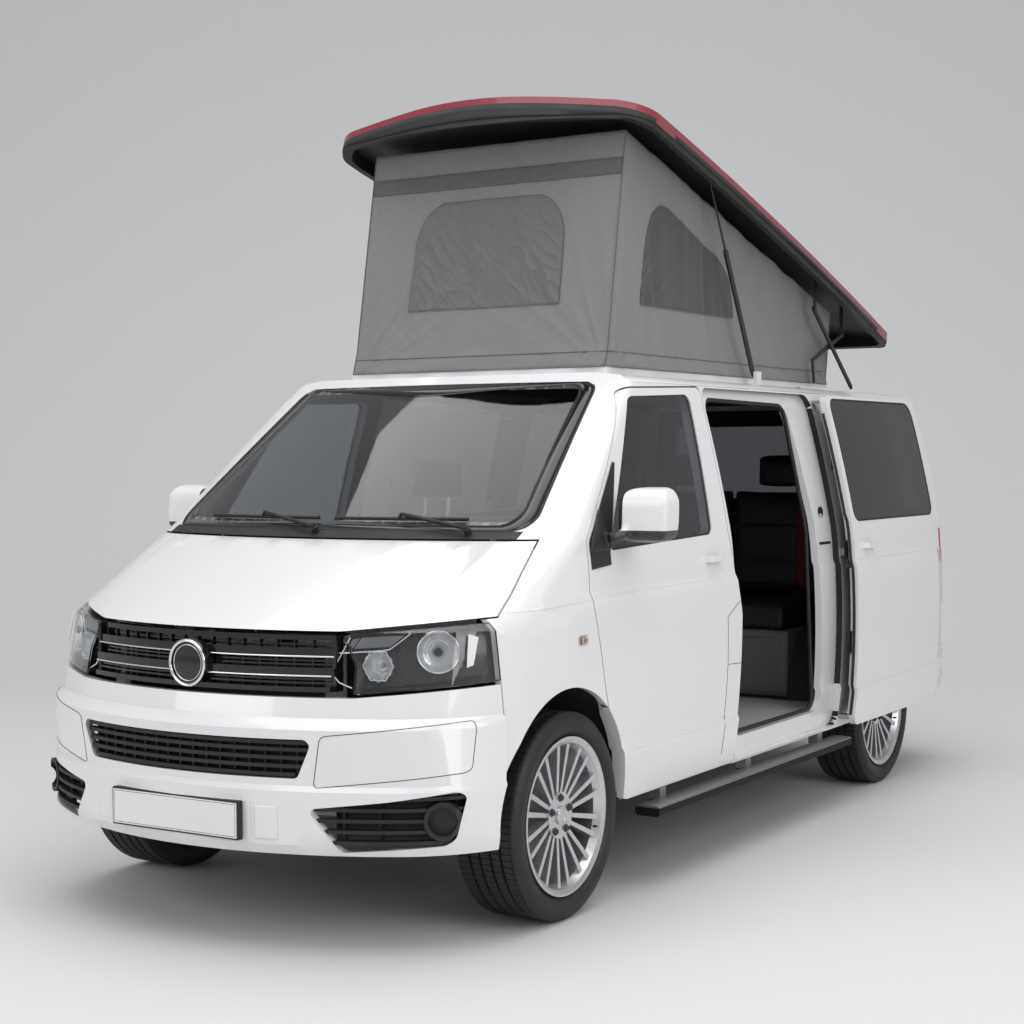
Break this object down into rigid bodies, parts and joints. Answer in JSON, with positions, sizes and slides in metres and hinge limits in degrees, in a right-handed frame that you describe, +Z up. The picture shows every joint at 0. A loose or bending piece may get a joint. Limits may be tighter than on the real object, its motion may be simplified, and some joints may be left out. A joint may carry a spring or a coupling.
{
  "type": "camper van",
  "caption": "Panel-sided camper van with a front-raised pop-up roof and tent, open sliding side door, glazed doors and tailgate, bench, cupboards and alloy wheels.",
  "frame": {"origin": "on the ground, midway between the ends and the sides", "axes": "+Z up, -Y towards the front, +X towards the left side of the vehicle"},
  "size_m": [2.276, 4.891, 2.969],
  "materials": {
    "body_paint": "gloss",
    "red_paint": "gloss",
    "black_plastic": "satin",
    "gloss_black": "gloss",
    "glass": "gloss",
    "lamp_glass": "gloss",
    "chrome": "polished",
    "alloy": "satin",
    "rubber": "matte",
    "tyre": "matte",
    "steel": "satin",
    "cast_iron": "matte",
    "canvas": "matte",
    "leather": "satin",
    "cabinet": "satin",
    "red_lens": "gloss"
  },
  "bodies": {
    "body": {"body_shell": "body_paint", "front_bumper": "body_paint", "rear_bumper": "body_paint", "upper_grille": "gloss_black", "lower_grilles": "black_plastic", "headlamps": "chrome", "headlamp_covers": "lamp_glass", "tail_lamps": "red_lens", "windscreen": "glass", "side_glass": "glass", "wipers": "black_plastic", "sliding_door": "body_paint", "sliding_door_glass": "glass", "slide_arms": "steel", "front_struts": "steel", "front_subframe": "steel", "rear_suspension": "steel", "engine_block": "cast_iron", "fuel_tank": "black_plastic", "cowl_panel": "black_plastic", "side_steps": "alloy", "front_seats": "leather", "rear_bench": "leather", "kitchen_unit": "cabinet", "dashboard": "black_plastic", "tent_fabric": "canvas"},
    "door_left": {"door_left": "body_paint", "door_glass_left": "glass", "mirror_left": "body_paint"},
    "door_right": {"door_right": "body_paint", "door_glass_right": "glass", "mirror_right": "body_paint"},
    "tailgate": {"tailgate": "body_paint", "tailgate_glass": "glass"},
    "bonnet": {"bonnet": "body_paint"},
    "raising_roof": {"pop_roof": "red_paint", "roof_rim": "rubber"},
    "lift_arms": {"lift_arms": "black_plastic"},
    "guide_arms": {"guide_arms": "black_plastic"},
    "strut_tubes": {"strut_tubes": "black_plastic"},
    "strut_rods": {"strut_rods": "steel"},
    "steering_wheel": {"steering_wheel": "leather"},
    "knuckle_left": {"knuckle_left": "cast_iron"},
    "knuckle_right": {"knuckle_right": "cast_iron"},
    "wheel_front_left": {"wheel_front_left": "alloy", "tyre_front_left": "tyre", "brake_disc_front_left": "cast_iron"},
    "wheel_front_right": {"wheel_front_right": "alloy", "tyre_front_right": "tyre", "brake_disc_front_right": "cast_iron"},
    "wheel_rear_left": {"wheel_rear_left": "alloy", "tyre_rear_left": "tyre", "brake_disc_rear_left": "cast_iron"},
    "wheel_rear_right": {"wheel_rear_right": "alloy", "tyre_rear_right": "tyre", "brake_disc_rear_right": "cast_iron"}
  },
  "joints": [
    {"name": "steer_left", "type": "hinge", "parent": "body", "child": "knuckle_left", "pos_m": [0.77, -1.538, 0.35], "axis": [0, 0, 1], "range_deg": [-33, 33]},
    {"name": "steer_right", "type": "hinge", "parent": "body", "child": "knuckle_right", "pos_m": [-0.77, -1.538, 0.35], "axis": [0, 0, 1], "range_deg": [-33, 33]},
    {"name": "steering_wheel_turn", "type": "hinge", "parent": "body", "child": "steering_wheel", "pos_m": [-0.4, -0.962, 1.092], "axis": [0, 0.8829, 0.4695], "range_deg": [-495, 495]},
    {"name": "front_left_spin", "type": "hinge", "parent": "knuckle_left", "child": "wheel_front_left", "pos_m": [0.814, -1.538, 0.35], "axis": [1, 0, 0], "continuous": true},
    {"name": "front_right_spin", "type": "hinge", "parent": "knuckle_right", "child": "wheel_front_right", "pos_m": [-0.814, -1.538, 0.35], "axis": [1, 0, 0], "continuous": true},
    {"name": "rear_left_spin", "type": "hinge", "parent": "body", "child": "wheel_rear_left", "pos_m": [0.814, 1.462, 0.35], "axis": [1, 0, 0], "continuous": true},
    {"name": "rear_right_spin", "type": "hinge", "parent": "body", "child": "wheel_rear_right", "pos_m": [-0.814, 1.462, 0.35], "axis": [1, 0, 0], "continuous": true},
    {"name": "door_left_hinge", "type": "hinge", "parent": "body", "child": "door_left", "pos_m": [0.954, -1.39, 0.9], "axis": [0, 0, 1], "range_deg": [-65, 0]},
    {"name": "door_right_hinge", "type": "hinge", "parent": "body", "child": "door_right", "pos_m": [-0.954, -1.39, 0.9], "axis": [0, 0, 1], "range_deg": [0, 65]},
    {"name": "tailgate_hinge", "type": "hinge", "parent": "body", "child": "tailgate", "pos_m": [0, 2.325, 1.838], "axis": [1, 0, 0], "range_deg": [0, 85]},
    {"name": "bonnet_hinge", "type": "hinge", "parent": "body", "child": "bonnet", "pos_m": [0, -1.475, 1.29], "axis": [1, 0, 0], "range_deg": [-50, 0]},
    {"name": "roof_lift", "type": "hinge", "parent": "body", "child": "raising_roof", "pos_m": [0, 2.862, 1.6275], "axis": [1, 0, 0], "range_deg": [0, 15.5], "deforming": ["tent_fabric"]},
    {"name": "lift_arm_swing", "type": "hinge", "parent": "body", "child": "lift_arms", "pos_m": [0, 1.756, 1.891], "axis": [1, 0, 0], "range_deg": [-0.5, 45.73]},
    {"name": "guide_arm_swing", "type": "hinge", "parent": "raising_roof", "child": "guide_arms", "pos_m": [0, 1.678, 2.147], "axis": [1, 0, 0], "range_deg": [-48.59, 0.5]},
    {"name": "strut_swing", "type": "hinge", "parent": "body", "child": "strut_tubes", "pos_m": [0, 0.583, 1.911], "axis": [1, 0, 0], "range_deg": [-0.5, 59.45]},
    {"name": "strut_slide", "type": "slide", "parent": "strut_tubes", "child": "strut_rods", "axis": [0, 0.4846, -0.8747], "range_m": [-0.001, 0.277]}
  ],
  "couplings": [
    {"joint": "steer_right", "follows": "steer_left", "ratio": 1},
    {"joint": "steering_wheel_turn", "follows": "steer_left", "ratio": 15},
    {"joint": "lift_arm_swing", "follows": "roof_lift", "ratio": 2.918},
    {"joint": "guide_arm_swing", "follows": "roof_lift", "ratio": -3.1025},
    {"joint": "strut_swing", "follows": "roof_lift", "ratio": 3.8029},
    {"joint": "strut_slide", "follows": "roof_lift", "m_per_rad": 1.0201}
  ]
}
